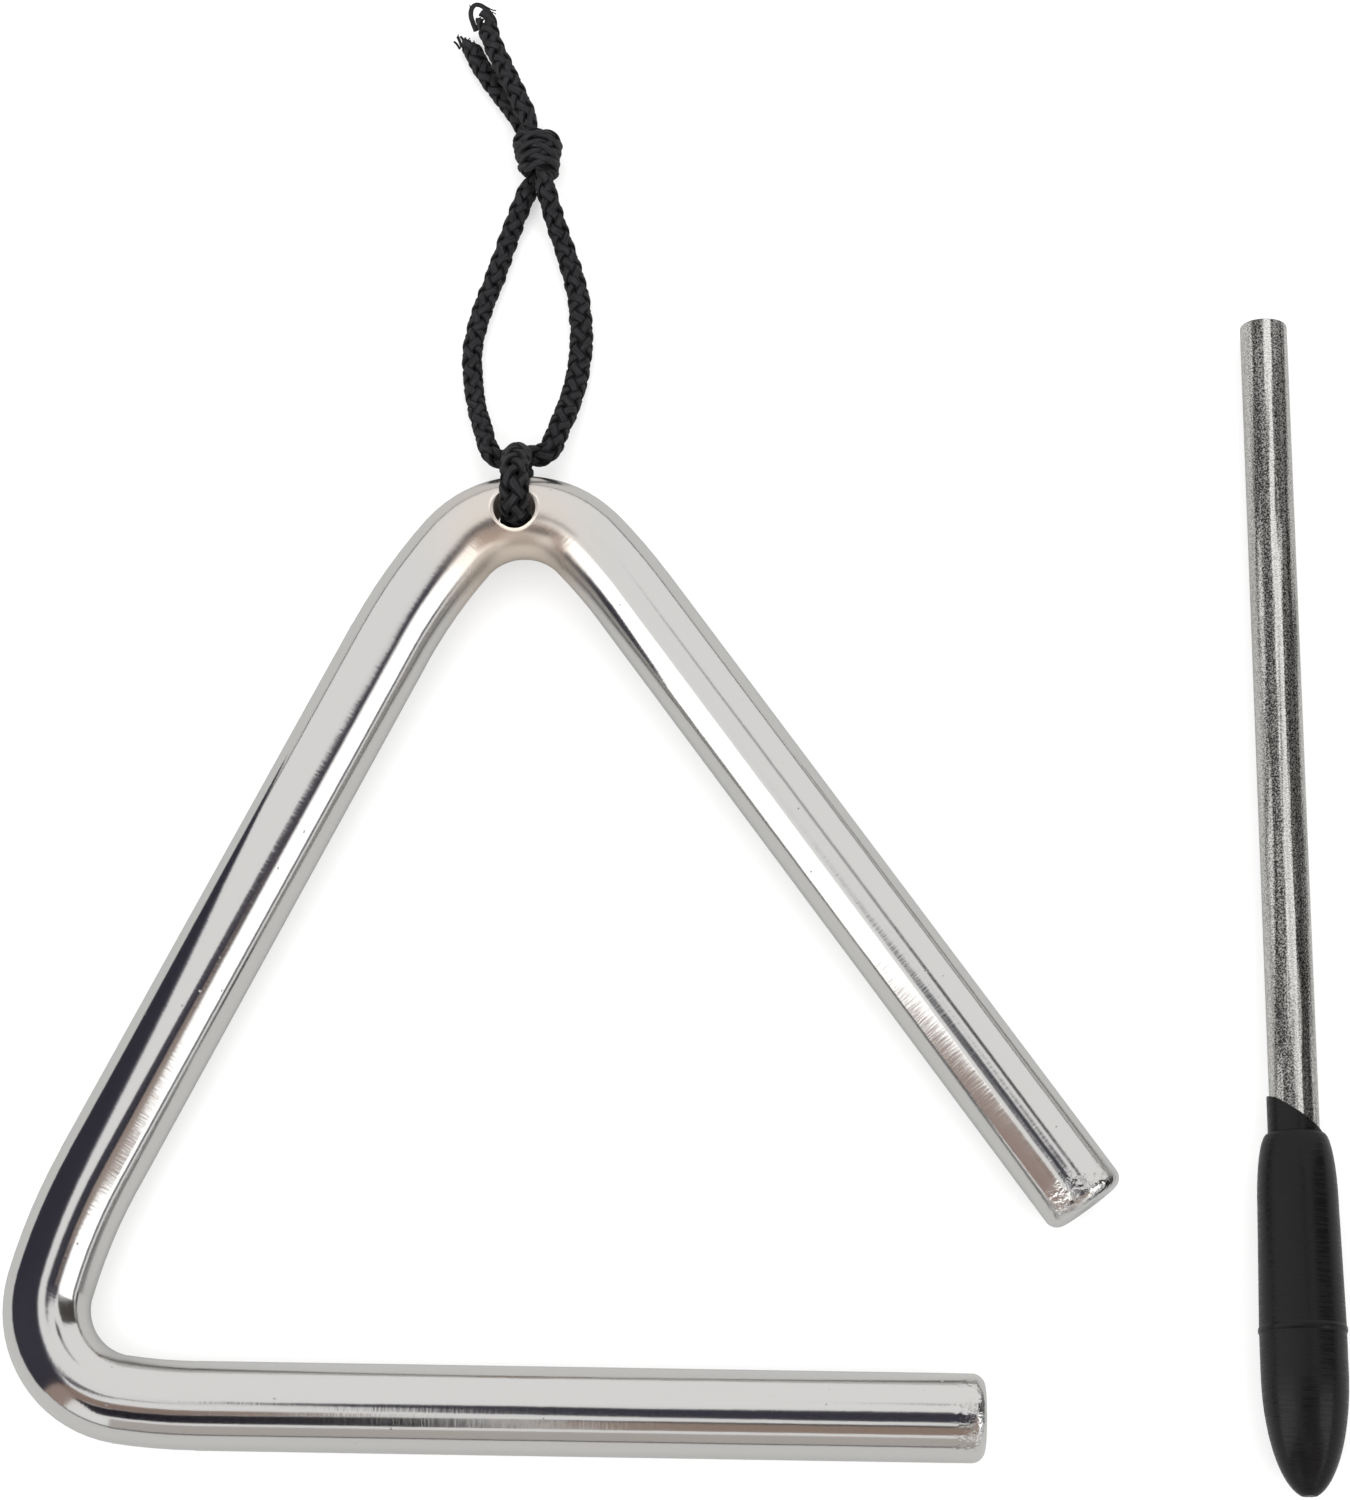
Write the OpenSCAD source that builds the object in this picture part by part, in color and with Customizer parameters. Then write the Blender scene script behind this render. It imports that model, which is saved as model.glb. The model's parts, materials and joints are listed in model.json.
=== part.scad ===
// Bent-bar percussion triangle lying flat, with a tied cord loop through a drilled hole and a striker beside it.
// Millimetres. +Z is up from the table, +Y runs towards the cord, and the origin is the middle of the
// rectangle that the bar and the striker cover on the table.

/* [Bar] */
// Thickness of the round bar
bar_d = 8; // [7:0.1:9.5]
// Straight run of the free leg along the table edge, up to its bend
base_leg = 70.9; // [64:0.1:76]
// Straight run of the leg between the two bends
closed_leg = 55.9; // [48:0.1:64]
// Straight run of the other free leg, from the top bend to its end
open_leg = 71.1; // [62:0.1:74]
// Radius of the tight part of both bends, at the bar's centre line
bend_r = 8.3; // [7.5:0.1:9.5]
// Turn of the tight part of the bend at the base, in degrees
base_angle = 96.4; // [94:0.1:99]
// Turn of the tight part of the bend at the top, in degrees
top_angle = 96.9; // [94:0.1:99]
// Radius of the shallow curve where the bar runs into and out of a bend
lead_r = 52; // [44:1:60]
// Turn of the shallow curve on the side of a free leg, in degrees
free_lead_angle = 7.5; // [6:0.1:9]
// Turn of the shallow curve on the side of the closed leg, in degrees
closed_lead_angle = 12.5; // [11:0.1:14]
// How much thinner the bar is in its shallow curves, and again in its tight ones, where bending stretched it
draw_down = 0.02; // [0.02:0.01:0.05]
// Rounding of the edge at the bar's cut ends
end_round = 1.2; // [0.6:0.1:1.6]

/* [Hole] */
// How far round the top bend's tight part the hole is drilled, in degrees
hole_angle = 44.1; // [40:0.1:56]
// Hole drilled through the top bend for the cord
hole_d = 4; // [3.7:0.1:4.3]
// Bevel at both mouths of the hole, where the bar stands highest
hole_chamfer = 0.35; // [0.3:0.05:0.5]

/* [Striker rod] */
// Thickness of the striker's steel rod
rod_d = 4.5; // [4:0.1:5]
// Length of the striker from the tip of its grip to the end of its rod
striker_len = 112.5; // [105:0.5:120]
// Rounding of the edge at the rod's free end
rod_round = 0.3; // [0.2:0.05:0.5]
// How far the rod reaches into the grip's body
rod_seat = 22; // [14:0.5:24]

/* [Striker grip] */
// Thickness of the grip just below its moulding seam
grip_d = 7.9; // [7.5:0.1:8.5]
// Length of the rounded tip
tip_len = 11; // [9:0.5:12]
// Width of the flat spot on the tip
tip_flat_d = 1.4; // [1:0.1:2]
// Distance from the tip to the moulding seam
seam_at = 15; // [13:0.1:16]
// Height of the moulding seam above the grip
seam_h = 0.1; // [0.05:0.01:0.15]
// Width of the moulding seam
seam_w = 0.5; // [0.4:0.1:0.7]
// Thickness of the grip where its shoulder begins
shoulder_d = 7.4; // [7:0.1:7.8]
// Distance from the tip to the start of the shoulder
shoulder_at = 26; // [24:0.5:27]
// Length of the rounded shoulder
shoulder_len = 6.9; // [5:0.1:8]
// Thickness of the grip at the top of its shoulder
neck_d = 5.2; // [5.2:0.1:5.8]
// Wall of the thin lip that stands up round the rod
lip_wall = 0.25; // [0.2:0.05:0.3]
// Height of the lip on its long side
lip_len = 3.5; // [3:0.1:4]

/* [Striker place] */
// Distance from the base leg's free end to the striker's axis
striker_gap = 28.9; // [26:0.1:34]
// Lean of the striker towards the bar, in degrees
striker_lean = 0.8; // [0:0.1:2]
// How far the grip's tip lies in front of the base leg's centre line
striker_drop = 6.5; // [3:0.1:9]

/* [Cord] */
// Thickness of the braided cord
cord_d = 2.4; // [2.2:0.1:2.5]
// Room between the cord and the bar that rests on it
cord_gap = 0.2; // [0.15:0.05:0.4]
// Thickness of the fold of cord where both legs of the loop meet at the bar
fold_d = 3; // [2.8:0.1:3.2]
// Width of that fold along its hinge line
fold_w = 2.6; // [2.6:0.1:3]
// Thickness of the knot's upper wrap
knot_d = 4.9; // [4.8:0.1:5.2]
// Thickness of the knot's lower wrap
knot_low_d = 4.5; // [4.4:0.1:4.9]
// Height of one wrap of the knot along the cord
wrap_w = 2.7; // [2.5:0.1:2.9]

/* [Hidden] */
$fn = 64;

bar_r = bar_d / 2;
rod_r = rod_d / 2;
cord_r = cord_d / 2;
hole_r = hole_d / 2;
// Overrun of every cutting shape
over = 1;
// Overlap of a bend with the stretch on either side of it
lap = 0.2;

// The bar from the base leg's free end to the other end: [length, 0] is straight, [turn, radius] is a bend
stretches = [
    [base_leg, 0],
    [free_lead_angle, lead_r],
    [base_angle, bend_r],
    [closed_lead_angle, lead_r],
    [closed_leg, 0],
    [closed_lead_angle, lead_r],
    [top_angle, bend_r],
    [free_lead_angle, lead_r],
    [open_leg, 0]
];
BASE_BEND = 2;
TOP_BEND = 6;

// A place along the bar is [x, y, heading] in the bar's own plane, and every bend turns clockwise
function bend_centre(p, r) = [p.x + r * sin(p.z), p.y - r * cos(p.z)];
function along(p, length) = [p.x + length * cos(p.z), p.y + length * sin(p.z), p.z];
function round_bend(p, turn, r) =
    let (c = bend_centre(p, r), h = p.z - turn)
    [c.x - r * sin(h), c.y + r * cos(h), h];
function after(p, s) = s[1] == 0 ? along(p, s[0]) : round_bend(p, s[0], s[1]);

places = [
    for (i = 0, p = [0, 0, 180];
        i <= len(stretches);
        p = i < len(stretches) ? after(p, stretches[i]) : p, i = i + 1)
    p
];
bar_end = places[len(stretches)];
hole_at = round_bend(places[TOP_BEND], hole_angle, bend_r);

// The cord runs under the top bend, so the bar leans on it there and touches the table along its base leg
mouth_rise = bar_r - sqrt(bar_r * bar_r - hole_r * hole_r);
top_lift = cord_d + cord_gap - mouth_rise;
bar_tilt = asin(top_lift / hole_at.y);
hole_x = hole_at.x;
hole_y = hole_at.y * cos(bar_tilt);

// The striker rests on its seam and on the end of its rod
seam_r = grip_d / 2 + seam_h;
striker_droop = atan((seam_r - rod_r) / (striker_len - rod_round - seam_at));
tip_z = seam_r * cos(striker_droop) + seam_at * sin(striker_droop);
tip_x = striker_gap + striker_drop * tan(striker_lean);
tip_y = -striker_drop;

// The rectangle that the bar and the striker cover, and the shift that centres it
left_x = bend_centre(places[BASE_BEND], bend_r).x - bend_r - bar_r;
right_x = tip_x - seam_at * cos(striker_droop) * sin(striker_lean) + seam_r * cos(striker_lean);
front_y = tip_y;
back_y = tip_y + striker_len * cos(striker_droop) * cos(striker_lean);
centre = [(left_x + right_x) / 2, (front_y + back_y) / 2, 0];

// The cord's routes, measured on the table from the middle of the hole
hitch_route = [
    [0, 7.1, 4], [0, 6.6, 5.3], [0, 6.1, 6.6], [0, 5.6, 7.8], [0, 5, 9], [0, 4.1, 10.1],
    [0, 2.9, 11], [0, 1.6, 11.4], [0, 0.6, 11.1], [0, -0.1, 10.4], [0, -0.3, 9.4], [0, -0.3, 6],
    [0, -0.3, 3], [0, 0, 2], [0, 0.6, 1.4], [0, 1.5, 1.2], [0, 3, 1.2], [0, 4.5, 1.3],
    [0, 5.7, 1.8], [0, 6.7, 2.6]
];
leg_left_route = [
    [-1.3, 7.2, 3.3], [-1.6, 7.2, 3.3], [-1.9, 7.2, 3.3], [-2.5, 7.5, 3.3], [-2.9, 8.1, 3.1],
    [-3.2, 9, 2.8], [-3.6, 10.4, 2.3], [-4.3, 13, 1.5], [-4.7, 16, 1.2], [-4.8, 19, 1.2],
    [-4.1, 22.5, 1.2], [-3.1, 25.5, 1.2], [-1.9, 29.5, 1.2], [-0.8, 33, 1.2], [0.2, 35.8, 1.3],
    [0.6, 37, 1.5]
];
leg_right_route = [
    [1.3, 7.2, 3.3], [1.6, 7.2, 3.3], [1.9, 7.2, 3.3], [2.5, 7.5, 3.3], [3, 8, 3.1],
    [3.3, 8.8, 2.9], [3.9, 10.7, 2.4], [4.7, 13.2, 1.6], [5.3, 15.8, 1.2], [5.7, 19, 1.2],
    [5.6, 22, 1.2], [5.1, 25.3, 1.2], [4.1, 28.6, 1.4], [2.8, 32.2, 2.3], [1.9, 35.2, 3.2],
    [1.5, 37, 3.4]
];
tail_long_route = [
    [0.4, 41, 3.4], [-0.1, 42.4, 3.5], [-1.1, 44.6, 3.6], [-2.3, 47.2, 3.4], [-3.3, 49.5, 3],
    [-4.1, 51.6, 2.7], [-4.7, 54.2, 2.2]
];
tail_short_route = [
    [-0.2, 41, 1.3], [-0.8, 42.8, 1.2], [-2, 44.6, 1.2], [-3.2, 46.2, 1.2], [-4.9, 48.7, 1.2],
    [-6.1, 51.2, 1.2]
];
// Middle of the fold, and of the knot, beside the routes that meet there
fold_at = [0, 7.2, 3.3];
knot_at = [1, 39.1];
knot_lean = 6;

CORD_SIDES = 8;

function unit(v) = v / norm(v);
// Direction of a route at its point i, along the chord between that point's neighbours
function heading(route, i) = unit(route[min(i + 1, len(route) - 1)] - route[max(i - 1, 0)]);
function ring(middle, ahead, r, across) =
    let (s = unit(cross(ahead, across)), u = cross(s, ahead))
    [for (k = [0:CORD_SIDES - 1]) middle + r * (cos(k * 360 / CORD_SIDES) * s + sin(k * 360 / CORD_SIDES) * u)];

// Tube of the cord's thickness along a route that never runs in the direction across
module tube(route, across) {
    n = CORD_SIDES;
    last = (len(route) - 1) * n;
    points = [for (i = [0:len(route) - 1]) each ring(route[i], heading(route, i), cord_r, across)];
    sides = [
        for (i = [0:len(route) - 2], k = [0:n - 1])
        let (a = i * n + k, b = i * n + (k + 1) % n)
        each [[a, b, b + n], [a, b + n, a + n]]
    ];
    caps = [
        for (k = [1:n - 2])
        each [[0, k + 1, k], [last, last + k, last + k + 1]]
    ];
    polyhedron(points, concat(sides, caps));
}

// Outline of a rod from its middle out, with a rounded edge at its far end
module rod_outline(r, length, edge) {
    square([r - edge, length]);
    square([r, length - edge]);
    translate([r - edge, length - edge]) circle(edge);
}

// Straight free leg that starts at the origin and ends, rounded, up along Z
module free_leg(length) {
    rotate_extrude() intersection() {
        rod_outline(bar_r, length, end_round);
        square([bar_r, length]);
    }
}

// Bent stretch that starts at the place p
module bend(p, turn, r) {
    c = bend_centre(p, r);
    lap_turn = asin(lap / r);
    thinner = r == bend_r ? 2 * draw_down : draw_down;
    translate([c.x, c.y, 0])
    rotate([0, 0, p.z + 90 - turn - lap_turn])
    rotate_extrude(angle = turn + 2 * lap_turn)
    translate([r, 0]) circle(bar_r - thinner);
}

// Straight stretch between two bends
module straight(p, length) {
    translate([p.x, p.y, 0]) rotate([0, 90, p.z]) cylinder(h = length, r = bar_r);
}

module drilled_hole() {
    reach = bar_r + over;
    translate([hole_at.x, hole_at.y, -reach]) cylinder(h = 2 * reach, r = hole_r);
    for (side = [0, 180])
        translate([hole_at.x, hole_at.y, 0]) rotate([side, 0, 0])
        translate([0, 0, bar_r - hole_chamfer])
        cylinder(h = hole_chamfer + over, r1 = hole_r, r2 = hole_r + hole_chamfer + over);
}

// The whole bent bar in its own plane
module flat_bar() {
    difference() {
        union() {
            for (i = [1:len(stretches) - 2])
                if (stretches[i][1] == 0) straight(places[i], stretches[i][0]);
                else bend(places[i], stretches[i][0], stretches[i][1]);
            translate([places[1].x, places[1].y, 0]) rotate([0, 90, 0]) free_leg(base_leg);
            translate([places[8].x, places[8].y, 0]) rotate([0, 90, places[8].z]) free_leg(open_leg);
        }
        drilled_hole();
    }
}

module bar() {
    color([0.78, 0.78, 0.77])
    translate([0, 0, bar_r] - centre)
    rotate([bar_tilt, 0, 0])
    flat_bar();
}

// Moves what is measured from the hole to its place on the table
module at_hole() {
    translate([hole_x, hole_y, 0] - centre) children();
}

module cord(route, across = [0, 0, 1]) {
    color([0.06, 0.06, 0.07]) at_hole() tube(route, across);
}

// The cord's turn through the hole, over and under the bar, with the fold that carries both legs
module cord_hitch() {
    cord(hitch_route, across = [1, 0, 0]);
    color([0.06, 0.06, 0.07]) at_hole()
        translate(fold_at) rotate([0, 90, 0]) cylinder(h = fold_w, d = fold_d, center = true);
}

module cord_leg_left() {
    cord(leg_left_route);
}

module cord_leg_right() {
    cord(leg_right_route);
}

// One wrap of the knot round its core
module wrap_outline(d, at) {
    intersection() {
        translate([d / 2 - wrap_w / 2, at]) circle(wrap_w / 2);
        translate([0, at - wrap_w / 2]) square([d / 2, wrap_w]);
    }
    translate([0, at - wrap_w / 2]) square([d / 2 - wrap_w / 2, wrap_w]);
}

module cord_knot() {
    color([0.06, 0.06, 0.07]) at_hole()
    translate([knot_at.x, knot_at.y, knot_d / 2]) rotate([-90, 0, knot_lean])
    rotate_extrude() {
        wrap_outline(knot_d, wrap_w / 2);
        wrap_outline(knot_low_d, -wrap_w / 2);
    }
}

module cord_tail_long() {
    cord(tail_long_route);
}

module cord_tail_short() {
    cord(tail_short_route);
}

// Stands the striker, drawn with its tip down at the origin and its rod up along Z, in its place on the table
module lay_striker() {
    translate([tip_x, tip_y, tip_z] - centre)
    rotate([-90 - striker_droop, 0, striker_lean])
    children();
}

rod_bottom = shoulder_at + shoulder_len - rod_seat;

module striker_rod() {
    color([0.62, 0.63, 0.62]) lay_striker()
    translate([0, 0, rod_bottom]) rotate_extrude()
    intersection() {
        rod_outline(rod_r, striker_len - rod_bottom, rod_round);
        square([rod_r, striker_len - rod_bottom]);
    }
}

// Half of an ellipse's edge from share a to share b of a quarter turn, as [radius, height] points
TIP_STEPS = 20;
SHOULDER_STEPS = 10;
tip_start = asin(tip_flat_d / grip_d);
function tip_curve() = [
    for (i = [0:TIP_STEPS])
    let (a = tip_start + (90 - tip_start) * i / TIP_STEPS)
    [sin(a) * grip_d / 2, tip_len * (1 - cos(a) / cos(tip_start))]
];
function shoulder_curve() = [
    for (i = [0:SHOULDER_STEPS])
    let (a = 90 * i / SHOULDER_STEPS)
    [neck_d / 2 + (shoulder_d - neck_d) / 2 * cos(a), shoulder_at + shoulder_len * sin(a)]
];

module grip_outline() {
    polygon(concat(
        [[0, 0]],
        tip_curve(),
        [
            [grip_d / 2, seam_at - seam_w],
            [seam_r, seam_at - seam_w / 2],
            [seam_r, seam_at],
            [grip_d / 2, seam_at + seam_w / 2]
        ],
        shoulder_curve(),
        [[0, shoulder_at + shoulder_len]]
    ));
}

// Thin lip of flash round the rod, cut off at a slant from its long side down to the shoulder
module lip() {
    lip_r = rod_r + lip_wall;
    top = shoulder_at + shoulder_len;
    slant = atan(lip_len / (2 * lip_r));
    difference() {
        translate([0, 0, top]) cylinder(h = lip_len, r = lip_r);
        translate([lip_r, 0, top]) rotate([0, slant, 0])
        translate([-4 * lip_r, -2 * lip_r, 0]) cube([5 * lip_r, 4 * lip_r, 2 * lip_len]);
    }
}

module striker_grip() {
    color([0.1, 0.1, 0.1]) lay_striker()
    difference() {
        union() {
            rotate_extrude() grip_outline();
            lip();
        }
        translate([0, 0, rod_bottom]) cylinder(h = striker_len, r = rod_r);
    }
}

bar();
cord_hitch();
cord_leg_left();
cord_leg_right();
cord_knot();
cord_tail_long();
cord_tail_short();
striker_rod();
striker_grip();
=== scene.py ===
"""Looks of a small percussion triangle with its tied cord loop and its striker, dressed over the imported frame.

Metres throughout. +Z is up from the table and +Y runs towards the cord, as in the frame.
"""

import json
import math
import random

import bpy
import numpy as np
from mathutils import Matrix, Vector


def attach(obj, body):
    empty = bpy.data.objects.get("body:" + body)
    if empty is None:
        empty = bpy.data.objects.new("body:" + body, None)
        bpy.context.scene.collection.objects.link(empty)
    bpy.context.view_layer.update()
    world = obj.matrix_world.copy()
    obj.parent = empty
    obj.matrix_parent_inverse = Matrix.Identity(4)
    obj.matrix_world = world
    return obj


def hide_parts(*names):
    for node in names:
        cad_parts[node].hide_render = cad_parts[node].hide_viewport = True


bl_info = {
    "name": "Percussion triangle looks",
    "version": (1, 0, 0),
    "blender": (4, 5, 0),
    "location": "3D View > Sidebar > Triangle",
    "description": "Builds the finished surfaces of a bent-bar triangle, its braided cord loop and its striker",
    "category": "Object",
}

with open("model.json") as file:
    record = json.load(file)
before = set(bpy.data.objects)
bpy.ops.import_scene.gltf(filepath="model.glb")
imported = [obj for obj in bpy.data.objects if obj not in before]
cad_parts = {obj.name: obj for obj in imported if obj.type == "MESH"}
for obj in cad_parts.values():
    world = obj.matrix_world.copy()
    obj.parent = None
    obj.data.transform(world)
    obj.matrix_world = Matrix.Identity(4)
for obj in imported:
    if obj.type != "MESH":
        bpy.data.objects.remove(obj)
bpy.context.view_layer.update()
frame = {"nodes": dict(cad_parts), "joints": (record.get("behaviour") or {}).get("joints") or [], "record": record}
MM = 0.001

# The middle of the hole through the top bend, at table height
SWING = next(j for j in frame["joints"] if j["name"] == "swing")
HOLE = Vector((SWING["pos_m"][0], SWING["pos_m"][1], 0))

# Routes of the cord in millimetres from the hole, as in the part's source
HITCH_ROUTE = [
    (0, 7.1, 4), (0, 6.6, 5.3), (0, 6.1, 6.6), (0, 5.6, 7.8), (0, 5, 9), (0, 4.1, 10.1),
    (0, 2.9, 11), (0, 1.6, 11.4), (0, 0.6, 11.1), (0, -0.1, 10.4), (0, -0.3, 9.4), (0, -0.3, 6),
    (0, -0.3, 3), (0, 0, 2), (0, 0.6, 1.4), (0, 1.5, 1.2), (0, 3, 1.2), (0, 4.5, 1.3),
    (0, 5.7, 1.8), (0, 6.7, 2.6),
]
LEG_LEFT_ROUTE = [
    (-1.3, 7.2, 3.3), (-1.6, 7.2, 3.3), (-1.9, 7.2, 3.3), (-2.5, 7.5, 3.3), (-2.9, 8.1, 3.1),
    (-3.2, 9, 2.8), (-3.6, 10.4, 2.3), (-4.3, 13, 1.5), (-4.7, 16, 1.2), (-4.8, 19, 1.2),
    (-4.1, 22.5, 1.2), (-3.1, 25.5, 1.2), (-1.9, 29.5, 1.2), (-0.8, 33, 1.2), (0.2, 35.8, 1.3),
    (0.6, 37, 1.5),
]
LEG_RIGHT_ROUTE = [
    (1.3, 7.2, 3.3), (1.6, 7.2, 3.3), (1.9, 7.2, 3.3), (2.5, 7.5, 3.3), (3, 8, 3.1),
    (3.3, 8.8, 2.9), (3.9, 10.7, 2.4), (4.7, 13.2, 1.6), (5.3, 15.8, 1.2), (5.7, 19, 1.2),
    (5.6, 22, 1.2), (5.1, 25.3, 1.2), (4.1, 28.6, 1.4), (2.8, 32.2, 2.3), (1.9, 35.2, 3.2),
    (1.5, 37, 3.4),
]
TAIL_LONG_ROUTE = [
    (0.4, 41, 3.4), (-0.1, 42.4, 3.5), (-1.1, 44.6, 3.6), (-2.3, 47.2, 3.4), (-3.3, 49.5, 3),
    (-4.1, 51.6, 2.7), (-4.7, 54.2, 2.2),
]
TAIL_SHORT_ROUTE = [
    (-0.2, 41, 1.3), (-0.8, 42.8, 1.2), (-2, 44.6, 1.2), (-3.2, 46.2, 1.2), (-4.9, 48.7, 1.2),
    (-6.1, 51.2, 1.2),
]
# Yarns that stand out of the two cut ends, in millimetres from the end, each with its thickness
LONG_FRAY = [
    (
        [
            (-0.7, -2.2, 0), (-1.05, -1.3, 0.1), (-1.25, -0.6, 0.1), (-1.2, 0.1, 0.1), (-0.85, 0.55, 0.1),
            (-0.3, 0.5, 0.1), (0.25, 0.1, 0.1), (0.75, -0.5, 0.1), (1.1, -1.1, 0), (1.1, -1.8, -0.1),
            (0.7, -2.6, -0.2),
        ],
        0.5,
    ),
    ([(-0.5, 0.5, 0.2), (0.2, 0.3, 0.3), (0.85, -0.05, 0.3), (1.25, -0.1, 0.3)], 0.14),
    ([(0.4, -0.1, 0.1), (0.9, -0.3, 0.3), (1.25, -0.55, 0.4)], 0.1),
    ([(-1.15, -0.2, 0.1), (-1.35, 0.25, 0.2), (-1.38, 0.55, 0.2)], 0.1),
]
SHORT_TUFT = [
    ([(-0.7, -0.6, 0.2), (-0.95, 0.05, 0.3), (-1.15, 0.5, 0.2)], 0.3),
    ([(-0.5, -0.6, 0.3), (-0.6, 0.1, 0.4), (-0.85, 0.5, 0.3)], 0.26),
    ([(-0.9, -0.7, 0), (-1.25, -0.15, 0), (-1.5, 0.1, -0.1)], 0.24),
    ([(-0.4, -0.5, 0.1), (-0.35, 0.1, 0.2), (-0.4, 0.45, 0.2)], 0.2),
    ([(-0.1, -0.5, 0.4), (-0.05, 0.05, 0.5), (0.1, 0.25, 0.5)], 0.12),
    ([(-0.8, -0.5, 0.4), (-1.1, 0.2, 0.5), (-1.05, 0.6, 0.6)], 0.12),
    ([(0.3, -1.2, 0.4), (0.55, -0.5, 0.5), (0.5, 0.0, 0.5)], 0.1),
    ([(0.7, -1.4, 0.2), (1.05, -0.8, 0.2), (1.15, -0.45, 0.1)], 0.1),
]
# Where the knot's middle lies, in millimetres from the hole, and how far it leans
KNOT_MIDDLE = (1.12, 38.75, 2.45)
KNOT_LEAN = math.radians(6)

# The mounts at both free ends of the bar, and the directions of the two sloping legs, seen from above
BASE_END, OPEN_END = (
    next(m for m in frame["record"]["mounts"] if m["name"] == name) for name in ("base_leg_end", "open_leg_end")
)
CLOSED_TURN = math.radians(63.4)
OPEN_TURN = math.atan2(OPEN_END["axis"][1], OPEN_END["axis"][0])


# Small shared tools


def linear(code):
    """An sRGB hex colour as linear RGBA."""
    parts = [int(code[i : i + 2], 16) / 255 for i in (1, 3, 5)]
    return [c / 12.92 if c <= 0.04045 else ((c + 0.055) / 1.055) ** 2.4 for c in parts] + [1.0]


def add_node(tree, kind, settings=None, inputs=None):
    """Adds a node. An input takes a plain value, or is linked from a socket or from a node's first output in use."""
    node = tree.nodes.new(kind)
    for name, value in (settings or {}).items():
        setattr(node, name, value)
    for name, value in (inputs or {}).items():
        if isinstance(value, bpy.types.Node):
            value = next(socket for socket in value.outputs if socket.enabled)
        if isinstance(value, bpy.types.NodeSocket):
            tree.links.new(value, node.inputs[name])
        else:
            node.inputs[name].default_value = value
    return node


def blank_material(name):
    """A material with an empty node tree but for its output."""
    material = bpy.data.materials.new(name)
    material.use_nodes = True
    tree = material.node_tree
    tree.nodes.clear()
    return material, tree, add_node(tree, "ShaderNodeOutputMaterial")


def new_piece(name, points, faces, material, uvs=None, smooth=True):
    """A mesh object of the given points and faces, with one (u, v) for each point if uvs is given."""
    mesh = bpy.data.meshes.new(name)
    mesh.from_pydata([tuple(p) for p in points], [], faces)
    if uvs is not None:
        layer = mesh.uv_layers.new(name="along_across")
        corner = np.zeros(len(mesh.loops), np.int32)
        mesh.loops.foreach_get("vertex_index", corner)
        layer.data.foreach_set("uv", np.asarray(uvs, np.float32)[corner].ravel())
    mesh.polygons.foreach_set("use_smooth", [smooth] * len(mesh.polygons))
    mesh.materials.append(material)
    mesh.update()
    piece = bpy.data.objects.new(name, mesh)
    bpy.context.scene.collection.objects.link(piece)
    return piece


def rounded_line(points, step, closed=False):
    """Points a step apart along a smooth curve through the given ones."""
    p = np.array([tuple(q) for q in points], float)
    if closed:
        before, after = np.vstack([p[-1:], p[:-1]]), np.vstack([p[1:], p[:1]])
        start, end = p, after
        lead_in, lead_out = before, np.vstack([p[2:], p[:2]])
    else:
        start, end = p[:-1], p[1:]
        lead_in = np.vstack([2 * p[:1] - p[1:2], p[:-2]])
        lead_out = np.vstack([p[2:], 2 * p[-1:] - p[-2:-1]])
    t = np.linspace(0, 1, 24, endpoint=False)[None, :, None]
    a, b, c, d = (x[:, None, :] for x in (lead_in, start, end, lead_out))
    fine = 0.5 * (2 * b + (c - a) * t + (2 * a - 5 * b + 4 * c - d) * t**2 + (3 * b - a - 3 * c + d) * t**3)
    fine = np.vstack([fine.reshape(-1, 3), p[:1] if closed else p[-1:]])
    gone = np.concatenate([[0], np.cumsum(np.linalg.norm(np.diff(fine, axis=0), axis=1))])
    count = max(int(round(gone[-1] / step)), 2) + 1
    at = np.linspace(0, gone[-1], count)
    return np.column_stack([np.interp(at, gone, fine[:, k]) for k in range(3)])


def unit(v):
    """Directions of length 1."""
    return v / np.maximum(np.linalg.norm(v, axis=-1, keepdims=True), 1e-12)


def carried_frames(line, side):
    """Directions across and up from a line, turned as little as possible along it from the first side."""
    ahead = unit(np.gradient(line, axis=0))
    across = np.zeros_like(line)
    now = np.array(side, float)
    for i, t in enumerate(ahead):
        now = now - t * np.dot(now, t)
        now = now / np.linalg.norm(now)
        across[i] = now
    return across, np.cross(ahead, across)


def length_along(line):
    """How far each point of a line lies from its start, along it."""
    return np.concatenate([[0], np.cumsum(np.linalg.norm(np.diff(line, axis=0), axis=1))])


# The braid of the cord

# Yarns in the braid, and sides of each one's section
CARRIERS = 8
SECTION_SIDES = 8
# The length in which a yarn goes once round the cord, and the step between two points of a yarn
PITCH = 7.4 * MM
STEP = PITCH / 42
# How far a yarn's middle lies from the cord's middle, and how far it rises and dips as it crosses the others
CARRIER_MIDDLE = 0.87 * MM
CARRIER_LIFT = 0.12 * MM
# Width and thickness of a yarn, and thickness of the core
CARRIER_W = 1.06 * MM
CARRIER_T = 0.5 * MM
CORE_THICK = 1.25 * MM
FIRST_TURN = math.radians(22.5)
# How far a yarn wanders: in its turn, its height and its share of width
TURN_DRIFT = 0.13
HEIGHT_DRIFT = 0.04 * MM
WIDTH_DRIFT = 0.12
# Each yarn has a lane this wide to itself in v. The core's lane is off the middle of one, so the painted shade makes
# the core dark
LANE = 3.0
CORE_LANE = -7.0
LOOSE_LANE = 13 * LANE


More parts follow.
